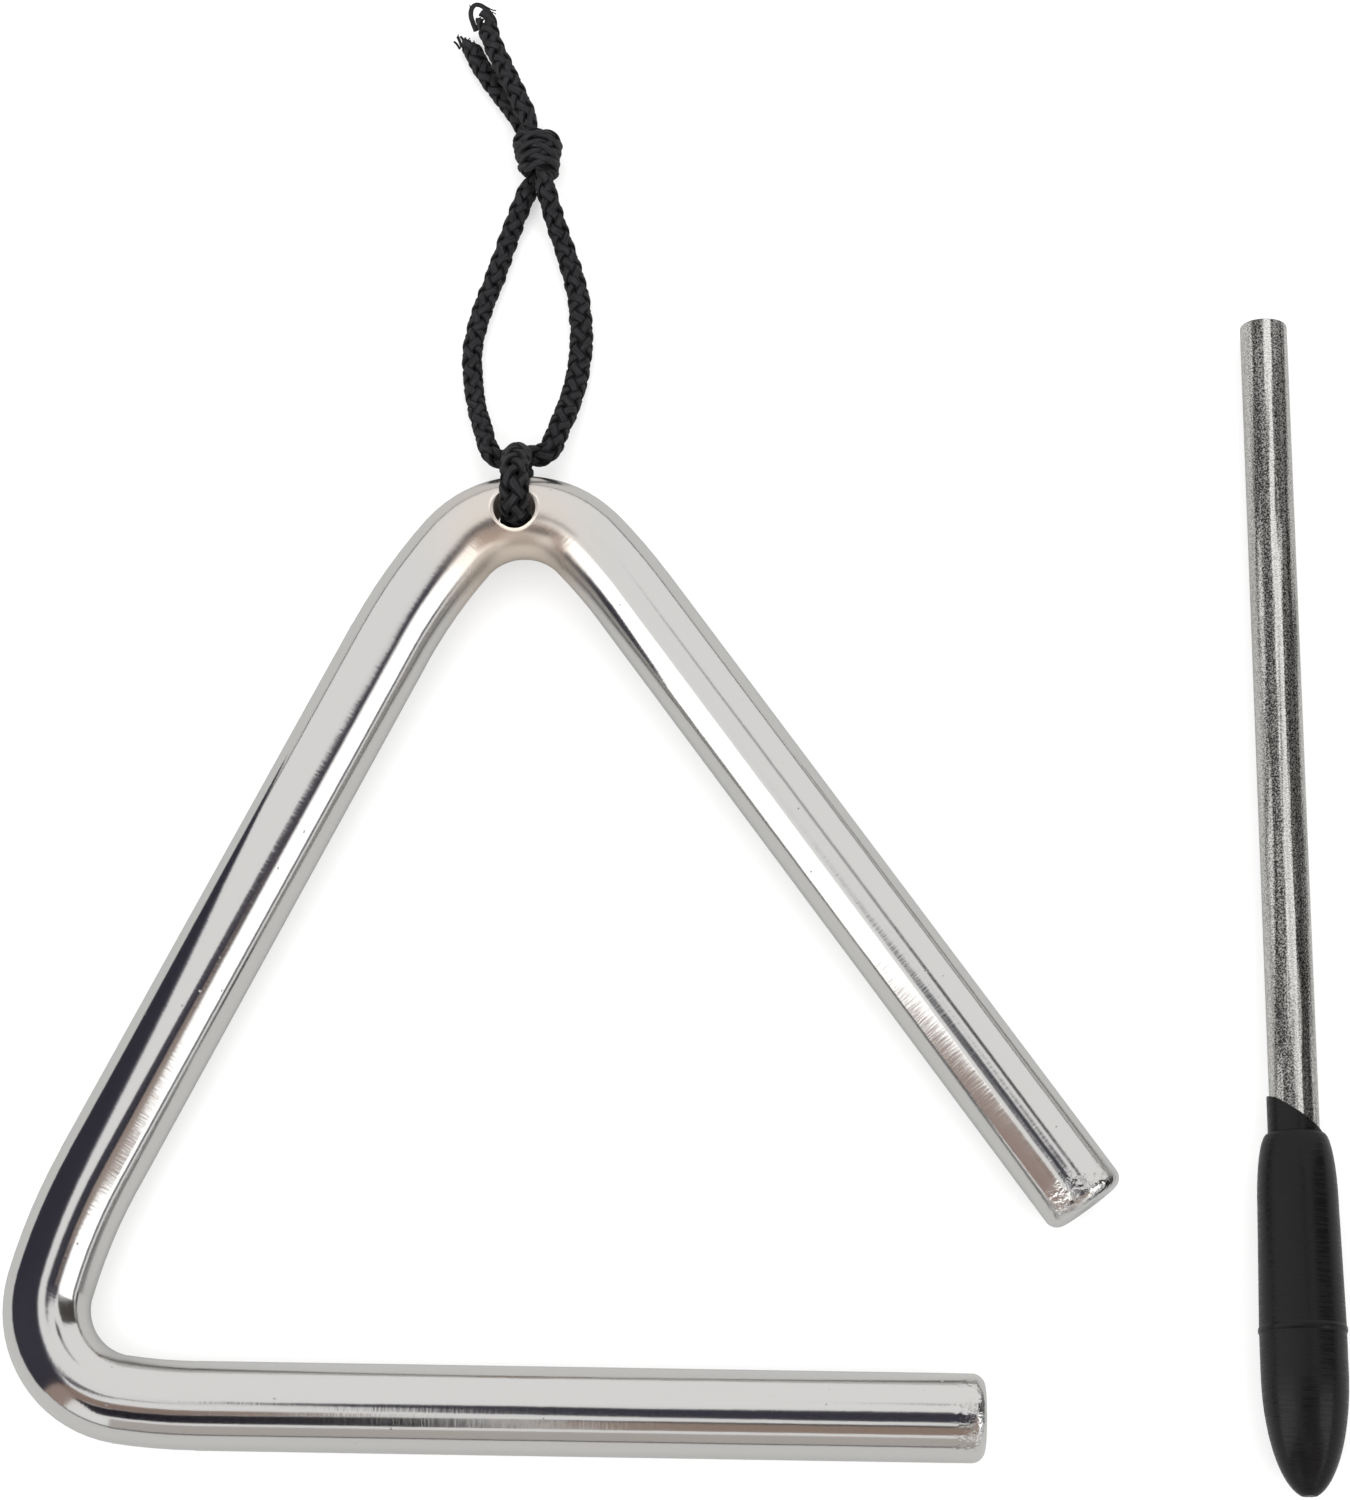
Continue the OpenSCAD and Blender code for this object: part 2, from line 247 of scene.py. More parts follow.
class Strands:
    """Gathers strands of yarn into one mesh."""

    def __init__(self):
        self.points, self.faces, self.uvs = [], [], []
        self.count = 0

    def add(self, line, out, wide, thick, lane=0.0):
        """A strand along a line, with its flat side facing out; wide and thick are one value or one for each point."""
        n = len(line)
        ahead = unit(np.gradient(line, axis=0))
        side = unit(np.cross(ahead, out))
        out = np.cross(side, ahead)
        turn = np.linspace(0, 2 * math.pi, SECTION_SIDES, endpoint=False)
        wide = np.broadcast_to(np.asarray(wide, float), (n,))[:, None, None] / 2
        thick = np.broadcast_to(np.asarray(thick, float), (n,))[:, None, None] / 2
        ring = (
            line[:, None, :]
            + side[:, None, :] * np.sin(turn)[None, :, None] * wide
            + out[:, None, :] * np.cos(turn)[None, :, None] * thick
        )
        gone = length_along(line) / MM
        u = np.repeat(gone, SECTION_SIDES)
        v = np.tile(np.sin(turn), n) * np.repeat(wide.ravel(), SECTION_SIDES) / MM + lane
        base, s = self.count, SECTION_SIDES
        self.points.append(ring.reshape(-1, 3))
        self.uvs.append(np.column_stack([u, v]))
        for i in range(n - 1):
            for k in range(s):
                a, b = base + i * s + k, base + i * s + (k + 1) % s
                self.faces.append((a, b, b + s, a + s))
        self.faces.append(tuple(base + k for k in range(s))[::-1])
        self.faces.append(tuple(base + (n - 1) * s + k for k in range(s)))
        self.count += n * s

    def piece(self, name, material):
        return new_piece(name, np.vstack(self.points), self.faces, material, np.vstack(self.uvs))


def wander(gone, chance, length):
    """A smooth random drift between about -1 and 1, with waves near the given length."""
    parts = [np.sin(2 * math.pi * (gone / (length * k) + chance.random())) for k in (0.6, 1.0, 1.7)]
    return sum(parts) / 1.8


def braid(strands, line, across, up, pitch=PITCH, yarn=1.0, squeeze=(1.0, 1.0), waist=None, cut=None, seed=1):
    """Winds eight carriers, four each way and each passing over and under the others, round a line.

    yarn is their share of the full width, squeeze flattens the braid along across and up, and waist thins
    it along its length. cut gives how much shorter a carrier stops than the line, from its place between
    -1 and 1 along up at the end.
    """
    chance = random.Random(seed)
    gone = length_along(line)
    waist = np.ones(len(line)) if waist is None else waist

    def kept(place):
        """How many points of the line a yarn that ends at this place goes through."""
        short = 0.0 if cut is None else cut(place)
        return max(int(np.searchsorted(gone, gone[-1] - short, side="right")), 4)

    for j in range(CARRIERS):
        way = 1 if j % 2 == 0 else -1
        # Soft yarns under uneven pull wander in their turn, height and width
        angle = way * 2 * math.pi * gone / pitch + (j // 2) * math.pi / 2 + FIRST_TURN
        angle = angle + TURN_DRIFT * wander(gone, chance, 3.3 * MM)
        # A yarn crosses eight others in a turn, over and under in turn, so it rises four times
        weave = way * CARRIER_LIFT * np.cos(8 * math.pi * gone / pitch)
        reach = (CARRIER_MIDDLE + weave + HEIGHT_DRIFT * wander(gone, chance, 2.3 * MM)) * waist
        route = (
            line
            + across * (np.cos(angle) * reach * squeeze[0])[:, None]
            + up * (np.sin(angle) * reach * squeeze[1])[:, None]
        )
        out = across * (np.cos(angle) / squeeze[0])[:, None] + up * (np.sin(angle) / squeeze[1])[:, None]
        wide = CARRIER_W * yarn * waist * (1 + WIDTH_DRIFT * wander(gone, chance, 2.1 * MM))
        keep = kept(math.sin(angle[-1]))
        strands.add(route[:keep], out[:keep], wide[:keep], CARRIER_T * waist[:keep], lane=LANE * j)
    # The yarns fill the middle too
    keep = kept(1.0)
    core = CORE_THICK * waist[:keep]
    strands.add(line[:keep], up[:keep], core * squeeze[0], core * squeeze[1], lane=CORE_LANE)


def on_table(route):
    """A route measured from the hole, in metres in the frame."""
    return [HOLE + MM * Vector(p) for p in route]


# Materials

WHITE = (1.0, 1.0, 1.0, 1.0)
# Settings of the sums and eased steps that the materials share
TIMES = {"operation": "MULTIPLY"}
TIMES_PLUS = {"operation": "MULTIPLY_ADD"}
MINUS = {"operation": "SUBTRACT"}
DISTANCE = {"operation": "DISTANCE"}
EASED = {"interpolation_type": "SMOOTHSTEP"}


def braided_nylon():
    """Nylon multifilament, dyed black and braided: dull and soft, with fine filaments along each yarn, and painted
    shade towards each yarn's edges.
    """
    looks = bpy.context.scene.triangle_cord
    material, tree, out = blank_material("braided_black_nylon")
    where = add_node(tree, "ShaderNodeUVMap", {"uv_map": "along_across"})
    # A filament is 0.03 mm; bundles of about 0.1 mm are drawn, which is as fine as the render shows
    stretch = add_node(tree, "ShaderNodeMapping", inputs={"Vector": where, "Scale": (0.9, 9.0, 1.0)})
    filaments = add_node(
        tree, "ShaderNodeTexNoise", inputs={"Vector": stretch, "Scale": 1.1, "Detail": 3.0, "Roughness": 0.6}
    )
    # Painted shade: a yarn is darkened towards its edges, where they lie under its neighbours
    lanes = add_node(tree, "ShaderNodeSeparateXYZ", inputs={"Vector": where})
    off_middle = add_node(tree, "ShaderNodeMath", {"operation": "PINGPONG"}, {0: lanes.outputs["Y"], 1: LANE / 2})
    painted_edge_shade = add_node(
        tree, "ShaderNodeMapRange",
        inputs={"Value": off_middle, "From Min": 0.2, "From Max": 0.48, "To Min": 1.0, "To Max": 0.3},
    )
    filaments_and_painted_shade = add_node(tree, "ShaderNodeMath", TIMES, {0: filaments, 1: painted_edge_shade})
    shade = add_node(tree, "ShaderNodeValToRGB", inputs={"Fac": filaments_and_painted_shade})
    dark, light = shade.color_ramp.elements
    dark.position, dark.color = 0.28, linear("#040405")
    light.position, light.color = 0.6, list(looks.colour) + [1.0]
    bump = add_node(tree, "ShaderNodeBump", inputs={"Height": filaments, "Strength": 1.0, "Distance": 0.06 * MM})
    cloth = add_node(
        tree,
        "ShaderNodeBsdfPrincipled",
        inputs={
            "Base Color": shade,
            "Roughness": 0.62,
            "IOR": 1.53,
            "Specular IOR Level": 0.12,
            "Sheen Weight": 0.02,
            "Sheen Roughness": 0.5,
            "Normal": bump,
        },
    )
    tree.links.new(cloth.outputs["BSDF"], out.inputs["Surface"])
    return material


def leg_grain(tree, place, turn, along, across):
    """Noise with marks of the given sizes along and across a direction, in metres, as its node."""
    lie = add_node(
        tree, "ShaderNodeMapping", {"vector_type": "TEXTURE"},
        {"Vector": place, "Rotation": (0, 0, turn), "Scale": (along, across, across)},
    )
    return add_node(tree, "ShaderNodeTexNoise", inputs={"Vector": lie, "Scale": 1.0, "Detail": 2.0})


def chrome_plated_steel():
    """Drawn steel bar, turned smooth and chrome plated: a mirror over fine marks round the bar, small pits,
    crumpled plating at the sheared ends and a satin stretch inside the top bend."""
    looks = bpy.context.scene.triangle_bar
    material, tree, out = blank_material("chrome_plated_steel")
    place = add_node(tree, "ShaderNodeTexCoord").outputs["Object"]
    xyz = add_node(tree, "ShaderNodeSeparateXYZ", inputs={"Vector": place})
    # Which leg a point is on
    open_side = add_node(
        tree, "ShaderNodeMapRange", EASED, {"Value": xyz.outputs["X"], "From Min": -15 * MM, "From Max": -13 * MM}
    )
    base_side = add_node(
        tree, "ShaderNodeMapRange", EASED, {"Value": xyz.outputs["Y"], "From Min": -43 * MM, "From Max": -45 * MM}
    )
    not_base = add_node(tree, "ShaderNodeMath", MINUS, {0: 1.0, 1: base_side})
    # Marks left round the bar by its polishing wheel: about 0.25 mm apart and 2 mm long
    mark_apart, mark_long = 0.25 * MM, 2.2 * MM
    closed = leg_grain(tree, place, CLOSED_TURN, mark_apart, mark_long)
    opened = leg_grain(tree, place, OPEN_TURN, mark_apart, mark_long)
    based = leg_grain(tree, place, 0.0, mark_apart, mark_long)
    sloped = add_node(tree, "ShaderNodeMix", inputs={"Factor": open_side, "A": closed, "B": opened})
    marks = add_node(tree, "ShaderNodeMix", inputs={"Factor": base_side, "A": sloped, "B": based})
    # Slow waves of the drawn surface, 3 mm long, and orange peel in the plating, 0.5 mm
    waves = add_node(tree, "ShaderNodeTexNoise", inputs={"Vector": place, "Scale": 330.0, "Detail": 1.0})
    peel = add_node(tree, "ShaderNodeTexNoise", inputs={"Vector": place, "Scale": 1900.0, "Detail": 2.0})
    # Pits about 0.25 mm wide, in nearly half of the patches of 1.7 mm
    cells = add_node(tree, "ShaderNodeTexVoronoi", inputs={"Vector": place, "Scale": 590.0, "Randomness": 1.0})
    chosen = add_node(tree, "ShaderNodeSeparateColor", inputs={"Color": cells.outputs["Color"]})
    some = add_node(tree, "ShaderNodeMath", {"operation": "LESS_THAN"}, {0: chosen, 1: 0.45})
    dent = add_node(
        tree, "ShaderNodeMapRange", EASED,
        {"Value": cells.outputs["Distance"], "From Min": 0.02, "From Max": 0.09, "To Min": 1.0, "To Max": 0.0},
    )
    pit = add_node(tree, "ShaderNodeMath", TIMES, {0: dent, 1: some})
    # How close a point is to either sheared end, where the plating is crumpled
    near_ends = []
    for end in (BASE_END, OPEN_END):
        axis = Vector(end["axis"])
        far = axis.dot(Vector(end["pos_m"]))
        along = add_node(tree, "ShaderNodeVectorMath", {"operation": "DOT_PRODUCT"}, {0: place, 1: tuple(axis)})
        near_ends.append(add_node(
            tree, "ShaderNodeMapRange", EASED,
            {"Value": along, "From Min": far - 2.0 * MM, "From Max": far + 1.2 * MM},
        ))
    on_base = add_node(tree, "ShaderNodeMath", TIMES, {0: near_ends[0], 1: base_side})
    open_leg = add_node(tree, "ShaderNodeMath", TIMES, {0: open_side, 1: not_base})
    on_open = add_node(tree, "ShaderNodeMath", TIMES, {0: near_ends[1], 1: open_leg})
    near_end = add_node(tree, "ShaderNodeMath", {"operation": "MAXIMUM"}, {0: on_base, 1: on_open})
    crumple = add_node(tree, "ShaderNodeTexNoise", inputs={"Vector": place, "Scale": 1900.0, "Detail": 3.0})
    crumpled = add_node(tree, "ShaderNodeMath", TIMES, {0: crumple, 1: near_end})
    # How close a point is to the top bend, whose inside the wheel didn't reach
    bend_middle = (HOLE.x, HOLE.y - 4 * MM, 5 * MM)
    away = add_node(tree, "ShaderNodeVectorMath", DISTANCE, {0: place, 1: bend_middle})
    near_top = add_node(
        tree, "ShaderNodeMapRange", EASED,
        {"Value": away, "From Min": 3 * MM, "From Max": 11 * MM, "To Min": 1.0, "To Max": 0.0},
    )
    # The heights of all these, in millimetres; the marks are deeper in the satin stretch
    mark_height = add_node(tree, "ShaderNodeMath", TIMES_PLUS, {0: near_top, 1: 0.006, 2: 0.004})
    height = add_node(tree, "ShaderNodeMath", TIMES, {0: marks, 1: mark_height})
    for pattern, tall in ((waves, 0.012), (peel, 0.0018), (pit, -0.02), (crumpled, 0.1)):
        height = add_node(tree, "ShaderNodeMath", TIMES_PLUS, {0: pattern, 1: tall, 2: height})
    bump = add_node(tree, "ShaderNodeBump", inputs={"Height": height, "Strength": 1.0, "Distance": MM})
    # The burr left round the drilled hole is dull
    level = add_node(tree, "ShaderNodeCombineXYZ", inputs={"X": xyz.outputs["X"], "Y": xyz.outputs["Y"]})
    off_hole = add_node(tree, "ShaderNodeVectorMath", DISTANCE, {0: level, 1: (HOLE.x, HOLE.y, 0)})
    burr = add_node(
        tree, "ShaderNodeMapRange", EASED,
        {"Value": off_hole, "From Min": 2.2 * MM, "From Max": 2.45 * MM, "To Min": 1.0, "To Max": 0.0},
    )
    metal = add_node(tree, "ShaderNodeMath", TIMES_PLUS, {0: burr, 1: -0.75, 2: 1.0})
    rough_burr = add_node(tree, "ShaderNodeMath", TIMES_PLUS, {0: burr, 1: 0.3, 2: 0.12})
    rough = add_node(tree, "ShaderNodeMath", TIMES_PLUS, {0: near_top, 1: 0.2, 2: rough_burr})
    # The satin stretch looks warm, as thin chrome over nickel does
    colour = add_node(
        tree, "ShaderNodeMix", {"data_type": "RGBA"},
        {"Factor": near_top, "A": list(looks.colour) + [1.0], "B": linear("#e4d6c8")},
    )
    plate = add_node(
        tree,
        "ShaderNodeBsdfPrincipled",
        inputs={"Base Color": colour, "Metallic": metal, "Roughness": rough, "Normal": bump},
    )
    tree.links.new(plate.outputs["BSDF"], out.inputs["Surface"])
    return material


def zinc_plated_steel():
    """Plain drawn rod, barrel plated with zinc: greyer than chrome, grainy, with draw streaks, and painted reflection
    in light and dark bands along it.
    """
    looks = bpy.context.scene.triangle_striker
    material, tree, out = blank_material("zinc_plated_steel")
    place = add_node(tree, "ShaderNodeTexCoord").outputs["Object"]
    # Crystals of 0.15 mm, and draw streaks 0.5 mm wide and 20 mm long
    grain = add_node(
        tree, "ShaderNodeTexNoise", inputs={"Vector": place, "Scale": 6200.0, "Detail": 2.0, "Roughness": 0.7}
    )
    streaks = leg_grain(tree, place, 0.0, 0.55 * MM, 20 * MM)
    # The rod's middle line, from its bare end and the part of it more than 80 mm on
    rod = frame["nodes"]["striker_rod"]
    points = [rod.matrix_world @ v.co for v in rod.data.vertices]
    rod_r = 2.25 * MM
    far = max(p.y for p in points)
    top = [p.x for p in points if p.y > far - 3 * MM]
    low = [p for p in points if p.y < far - 80 * MM]
    low_x = [p.x for p in low]
    top_middle, low_middle = (max(top) + min(top)) / 2, (max(low_x) + min(low_x)) / 2
    lean = (top_middle - low_middle) / (far - sum(p.y for p in low) / len(low))
    # How far a point lies across the rod from that line, as a share of the rod's radius
    xyz = add_node(tree, "ShaderNodeSeparateXYZ", inputs={"Vector": place})
    from_end = add_node(tree, "ShaderNodeMath", MINUS, {0: xyz.outputs["Y"], 1: far})
    middle = add_node(tree, "ShaderNodeMath", TIMES_PLUS, {0: from_end, 1: lean, 2: top_middle})
    aside = add_node(tree, "ShaderNodeMath", MINUS, {0: xyz.outputs["X"], 1: middle})
    across = add_node(tree, "ShaderNodeMath", {"operation": "DIVIDE"}, {0: aside, 1: rod_r})
    # The streaks shift the bands of painted reflection that run along the rod
    shift = add_node(tree, "ShaderNodeMath", MINUS, {0: streaks, 1: 0.5})
    wavy = add_node(tree, "ShaderNodeMath", TIMES_PLUS, {0: shift, 1: 0.75, 2: across})
    half = add_node(
        tree, "ShaderNodeMath", {"operation": "MULTIPLY_ADD", "use_clamp": True}, {0: wavy, 1: 0.5, 2: 0.5}
    )
    # Painted reflection: light and dark bands that run along the rod, as shares of the rod's full tone
    painted_reflection_bands = add_node(tree, "ShaderNodeValToRGB", inputs={"Fac": half})
    painted_reflection_bands.color_ramp.elements[0].color = (0.75, 0.75, 0.75, 1)
    painted_reflection_bands.color_ramp.elements[1].color = (0.8, 0.8, 0.8, 1)
    for at, grey in (
        (0.13, 0.6), (0.21, 0.12), (0.3, 0.1), (0.4, 0.32), (0.46, 0.95),
        (0.56, 1.0), (0.63, 0.12), (0.72, 0.4), (0.83, 0.14), (0.9, 0.6),
    ):
        painted_reflection_bands.color_ramp.elements.new(at).color = (grey, grey, grey, 1)
    # Each crystal is lighter or darker than its band
    speck = add_node(
        tree, "ShaderNodeMapRange", EASED,
        {"Value": grain, "From Min": 0.34, "From Max": 0.64, "To Min": -0.38, "To Max": 0.2},
    )
    share = add_node(tree, "ShaderNodeMath", {"operation": "ADD", "use_clamp": True}, {0: painted_reflection_bands, 1: speck})
    # The colour goes from dark to the rod's own, set by the painted reflection bands and the crystals' specks
    specks_and_painted_reflection = add_node(tree, "ShaderNodeValToRGB", inputs={"Fac": share})
    specks_and_painted_reflection.color_ramp.elements[0].color = linear("#323130")
    specks_and_painted_reflection.color_ramp.elements[1].color = list(looks.rod_colour) + [1.0]
    streak_height = add_node(tree, "ShaderNodeMath", TIMES, {0: streaks, 1: 0.02})
    height = add_node(tree, "ShaderNodeMath", TIMES_PLUS, {0: grain, 1: 0.016, 2: streak_height})
    bump = add_node(tree, "ShaderNodeBump", inputs={"Height": height, "Strength": 1.0, "Distance": MM})
    plate = add_node(
        tree,
        "ShaderNodeBsdfPrincipled",
        inputs={"Base Color": specks_and_painted_reflection, "Metallic": 1.0, "Roughness": 0.26, "Normal": bump},
    )
    tree.links.new(plate.outputs["BSDF"], out.inputs["Surface"])
    return material


def moulded_vinyl():
    """Soft black vinyl, moulded: a satin skin with fine handling scratches across the grip."""
    looks = bpy.context.scene.triangle_striker
    material, tree, out = blank_material("moulded_black_vinyl")
    place = add_node(tree, "ShaderNodeTexCoord").outputs["Object"]
    # Skin pores of 0.4 mm, and scratches 0.2 mm wide that run round the grip
    skin = add_node(tree, "ShaderNodeTexNoise", inputs={"Vector": place, "Scale": 2400.0, "Detail": 3.0})
    rubs = leg_grain(tree, place, math.pi / 2, 0.2 * MM, 2.5 * MM)
    rub_height = add_node(tree, "ShaderNodeMath", TIMES, {0: rubs, 1: 0.002})
    height = add_node(tree, "ShaderNodeMath", TIMES_PLUS, {0: skin, 1: 0.007, 2: rub_height})
    bump = add_node(tree, "ShaderNodeBump", inputs={"Height": height, "Strength": 1.0, "Distance": MM})
    rough = add_node(
        tree, "ShaderNodeMapRange", EASED,
        {"Value": rubs, "From Min": 0.35, "From Max": 0.65, "To Min": 0.22, "To Max": 0.36},
    )
    vinyl = add_node(
        tree,
        "ShaderNodeBsdfPrincipled",
        inputs={
            "Base Color": list(looks.grip_colour) + [1.0],
            "Roughness": rough,
            "IOR": 1.53,
            "Specular IOR Level": 0.2,
            "Normal": bump,
        },
    )
    tree.links.new(vinyl.outputs["BSDF"], out.inputs["Surface"])
    return material


# Settings


class BarLooks(bpy.types.PropertyGroup):
    colour: bpy.props.FloatVectorProperty(
        name="Plating colour", description="Colour of the bar's plating", subtype="COLOR", size=3,
        min=0, max=1, default=linear("#d3d2d0")[:3],
    )


class CordLooks(bpy.types.PropertyGroup):
    colour: bpy.props.FloatVectorProperty(
        name="Yarn colour", description="Colour of the cord's yarn where light catches it", subtype="COLOR", size=3,
        min=0, max=1, default=linear("#28282a")[:3],
    )
    diameter: bpy.props.FloatProperty(
        name="Cord thickness", description="Thickness of the braided cord", subtype="DISTANCE", unit="LENGTH",
        default=2.4 * MM,
    )


class StrikerLooks(bpy.types.PropertyGroup):
    rod_colour: bpy.props.FloatVectorProperty(
        name="Rod colour", description="Colour of the rod's plating", subtype="COLOR", size=3,
        min=0, max=1, default=linear("#f2f0ec")[:3],
    )
    grip_colour: bpy.props.FloatVectorProperty(
        name="Grip colour", description="Colour of the moulded grip", subtype="COLOR", size=3,
        min=0, max=1, default=linear("#0b0b0c")[:3],
    )


class StageLooks(bpy.types.PropertyGroup):
    table_colour: bpy.props.FloatVectorProperty(
        name="Table colour", description="Colour of the table and the backdrop", subtype="COLOR", size=3,
        min=0, max=1, default=linear("#f4f4f3")[:3],
    )
    lens: bpy.props.FloatProperty(
        name="Lens", description="Focal length of the camera, in millimetres", subtype="DISTANCE_CAMERA", default=103.0,
    )


# Pieces


class TRIANGLE_OT_stage(bpy.types.Operator):
    """Set up the camera, the pale table, the soft lights and what the metal reflects"""

    bl_idname = "triangle.stage"
    bl_label = "Stage"

    def execute(self, context):
        looks = context.scene.triangle_stage
        make_camera(looks)
        make_table(looks)
        make_world()
        make_lights()
        make_reflected_cards()
        context.scene.view_settings.view_transform = "Standard"
        return {"FINISHED"}


def make_camera(looks):
    """The camera, at the photograph's viewing angle."""
    data = bpy.data.cameras.new("camera")
    data.lens = looks.lens
    data.sensor_width = 36.0
    data.sensor_fit = "AUTO"
    camera = bpy.data.objects.new("camera", data)
    bpy.context.scene.collection.objects.link(camera)
    # It looks down on a point of the table, turned a little, and leans back from the upright
    turn, lean = math.radians(0.923), math.radians(15.5)
    distance = 406.9 * MM
    aim = Vector((-0.8635, 13.3251, 0)) * MM
    right = Vector((math.cos(turn), math.sin(turn), 0))
    ahead = Vector((-math.sin(turn) * math.sin(lean), math.cos(turn) * math.sin(lean), -math.cos(lean)))
    facing = Matrix((right, right.cross(ahead), -ahead)).transposed().to_4x4()
    camera.matrix_world = Matrix.Translation(aim - ahead * distance) @ facing
    bpy.context.scene.camera = camera


def make_table(looks):
    """A wide pale table. The camera sees it near white, with the object's shadow, and metal sees it greyer."""
    material, tree, out = blank_material("pale_paper_sweep")
    paper = add_node(tree, "ShaderNodeBsdfDiffuse", inputs={"Color": list(looks.table_colour) + [1.0]})
    path = add_node(tree, "ShaderNodeLightPath")
    glow = add_node(tree, "ShaderNodeEmission", inputs={"Color": WHITE, "Strength": 1.0})
    # From 0.3 to 0.9 m away, the paper sweeps up into the white of the room
    place = add_node(tree, "ShaderNodeTexCoord")
    away = add_node(tree, "ShaderNodeVectorMath", {"operation": "LENGTH"}, {0: place.outputs["Object"]})
    share = add_node(
        tree, "ShaderNodeMapRange", EASED,
        {"Value": away, "From Min": 0.3, "From Max": 0.9, "To Min": 0.5, "To Max": 1.0},
    )
    mixed = add_node(tree, "ShaderNodeMixShader", inputs={"Fac": share, 1: paper, 2: glow})
    seen = add_node(
        tree, "ShaderNodeMixShader", inputs={"Fac": path.outputs["Is Camera Ray"], 1: paper, 2: mixed}
    )
    share_in_metal = 0.47
    greyer = [share_in_metal * c for c in looks.table_colour] + [1.0]
    in_metal = add_node(tree, "ShaderNodeBsdfDiffuse", inputs={"Color": greyer})
    shown = add_node(
        tree, "ShaderNodeMixShader", inputs={"Fac": path.outputs["Is Glossy Ray"], 1: seen, 2: in_metal}
    )
    tree.links.new(shown.outputs["Shader"], out.inputs["Surface"])
    half = 1.5
    corners = [(-half, -half, 0), (half, -half, 0), (half, half, 0), (-half, half, 0)]
    table = new_piece("table", corners, [(0, 1, 2, 3)], material, smooth=False)
    # Just under the object, so that no two surfaces share a plane
    table.location.z = -0.03 * MM


def make_world():
    """A white room: the camera, metal and glass see it at full white, and it lights the object at a lower level."""
    world = bpy.data.worlds.new("white_room")
    bpy.context.scene.world = world
    world.use_nodes = True
    tree = world.node_tree
    tree.nodes.clear()
    out = add_node(tree, "ShaderNodeOutputWorld")
    path = add_node(tree, "ShaderNodeLightPath")
    room = add_node(tree, "ShaderNodeBackground", inputs={"Color": WHITE, "Strength": 0.62})
    seen = add_node(tree, "ShaderNodeBackground", inputs={"Color": WHITE, "Strength": 1.0})
    looked_at = path.outputs["Is Camera Ray"]
    for kind in ("Is Glossy Ray", "Is Transmission Ray"):
        looked_at = add_node(tree, "ShaderNodeMath", {"operation": "MAXIMUM"}, {0: looked_at, 1: path.outputs[kind]})
    mixed = add_node(tree, "ShaderNodeMixShader", inputs={"Fac": looked_at, 1: room, 2: seen})
    tree.links.new(mixed.outputs["Shader"], out.inputs["Surface"])


def make_lights():
    """Three softboxes that face the middle of the object, each with its place and size in metres and its watts."""
    for name, place, size, power in (
        ("key_softbox", (-0.5, -0.35, 0.75), 0.7, 6.0),
        ("fill_softbox", (0.55, -0.3, 0.7), 0.7, 5.0),
        ("top_softbox", (0.0, 0.5, 0.8), 0.8, 5.0),
    ):
        data = bpy.data.lights.new(name, "AREA")
        data.shape = "SQUARE"
        data.size = size
        data.energy = power
        light = bpy.data.objects.new(name, data)
        light.location = place
        light.rotation_euler = (Vector((0, 0, 0)) - light.location).to_track_quat("-Z", "Y").to_euler()
        light.visible_glossy = False
        bpy.context.scene.collection.objects.link(light)


def card(name, points, faces, colour, strength=1.0, reach=None):
    """A card that only reflections see, of points in millimetres; from farther than reach nothing sees it."""
    material, tree, out = blank_material(name)
    shown = add_node(tree, "ShaderNodeEmission", inputs={"Color": linear(colour), "Strength": strength})
    if reach is not None:
        path = add_node(tree, "ShaderNodeLightPath")
        far = add_node(
            tree, "ShaderNodeMath", {"operation": "GREATER_THAN"}, {0: path.outputs["Ray Length"], 1: reach * MM}
        )
        clear = add_node(tree, "ShaderNodeBsdfTransparent")
        shown = add_node(tree, "ShaderNodeMixShader", inputs={"Fac": far, 1: shown, 2: clear})
    tree.links.new(shown.outputs[0], out.inputs["Surface"])
    piece = new_piece(name, [MM * Vector(p) for p in points], faces, material, smooth=False)
    piece.visible_camera = False
    piece.visible_diffuse = False
    piece.visible_shadow = False
    piece.visible_transmission = False


